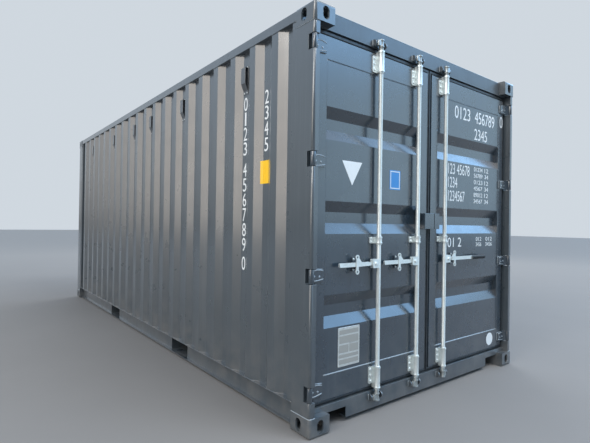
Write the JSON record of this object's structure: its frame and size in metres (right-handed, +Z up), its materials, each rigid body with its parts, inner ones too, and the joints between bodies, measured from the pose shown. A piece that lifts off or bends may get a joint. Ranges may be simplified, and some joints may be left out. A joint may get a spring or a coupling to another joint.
{
  "type": "shipping container",
  "caption": "Corrugated steel freight box with corner castings, hinged double doors with turning lock rods and lift-up handles, a plywood floor and forklift pockets.",
  "frame": {"origin": "on the ground plane under the middle of the box", "axes": "+Z up, Y along the length with the doors at -Y, +X to the right when one faces the doors"},
  "size_m": [2.438, 6.058, 2.591],
  "materials": {
    "box_paint": "satin",
    "door_paint": "satin",
    "casting_paint": "satin",
    "vent_plastic": "matte",
    "galvanised": "satin",
    "rubber": "matte",
    "plywood": "matte"
  },
  "bodies": {
    "container": {"casting_door_left_bottom": "casting_paint", "casting_door_right_bottom": "casting_paint", "casting_end_left_bottom": "casting_paint", "casting_end_right_bottom": "casting_paint", "casting_door_left_top": "casting_paint", "casting_door_right_top": "casting_paint", "casting_end_left_top": "casting_paint", "casting_end_right_top": "casting_paint", "door_post_left": "box_paint", "door_post_right": "box_paint", "end_post_left": "box_paint", "end_post_right": "box_paint", "door_header": "box_paint", "door_sill": "box_paint", "end_top_rail": "box_paint", "end_bottom_rail": "box_paint", "top_rail_left": "box_paint", "top_rail_right": "box_paint", "bottom_rail_left": "box_paint", "bottom_rail_right": "box_paint", "side_wall_left": "box_paint", "side_wall_right": "box_paint", "end_wall": "box_paint", "roof_panel": "box_paint", "roof_end_plates": "box_paint", "floor_boards": "plywood", "cross_members": "box_paint", "forklift_pockets": "box_paint", "ventilators_left": "vent_plastic", "ventilators_right": "vent_plastic", "hinge_pins_left": "box_paint", "hinge_pins_right": "box_paint", "cam_keepers": "box_paint"},
    "door_left": {"door_frame_left": "door_paint", "door_panel_left": "door_paint", "door_gasket_left": "rubber", "hinge_blades_left": "door_paint", "rod_brackets_left": "galvanised", "handle_catches_left": "door_paint", "lockbox_left_half": "door_paint"},
    "door_right": {"door_frame_right": "door_paint", "door_panel_right": "door_paint", "door_gasket_right": "rubber", "hinge_blades_right": "door_paint", "rod_brackets_right": "galvanised", "handle_catches_right": "door_paint", "lockbox_right_half": "door_paint"},
    "rod_outer": {"lock_rod_outer": "galvanised"},
    "rod_left": {"lock_rod_left": "galvanised"},
    "rod_right": {"lock_rod_right": "galvanised"},
    "lever_outer": {"handle_outer": "galvanised"},
    "lever_left": {"handle_left": "galvanised"},
    "lever_right": {"handle_right": "galvanised"}
  },
  "joints": [
    {"name": "door_left_swing", "type": "hinge", "parent": "container", "child": "door_left", "pos_m": [-1.197, -3.005, 0.256], "axis": [0, 0, -1], "range_deg": [0, 262]},
    {"name": "door_right_swing", "type": "hinge", "parent": "container", "child": "door_right", "pos_m": [1.197, -3.005, 0.256], "axis": [0, 0, 1], "range_deg": [0, 262]},
    {"name": "rod_outer_turn", "type": "hinge", "parent": "door_left", "child": "rod_outer", "pos_m": [-0.598, -2.999, 1], "axis": [0, 0, -1], "range_deg": [-100, 0]},
    {"name": "rod_left_turn", "type": "hinge", "parent": "door_left", "child": "rod_left", "pos_m": [-0.173, -2.999, 1], "axis": [0, 0, -1], "range_deg": [-100, 0]},
    {"name": "rod_right_turn", "type": "hinge", "parent": "door_right", "child": "rod_right", "pos_m": [0.173, -2.999, 1], "axis": [0, 0, 1], "range_deg": [-100, 0]},
    {"name": "handle_outer_lift", "type": "hinge", "parent": "rod_outer", "child": "lever_outer", "pos_m": [-0.638, -2.999, 1.008], "axis": [0, 1, 0], "range_deg": [0, 20]},
    {"name": "handle_left_lift", "type": "hinge", "parent": "rod_left", "child": "lever_left", "pos_m": [-0.213, -2.999, 1.008], "axis": [0, 1, 0], "range_deg": [0, 20]},
    {"name": "handle_right_lift", "type": "hinge", "parent": "rod_right", "child": "lever_right", "pos_m": [0.213, -2.999, 1.008], "axis": [0, -1, 0], "range_deg": [0, 20]}
  ]
}
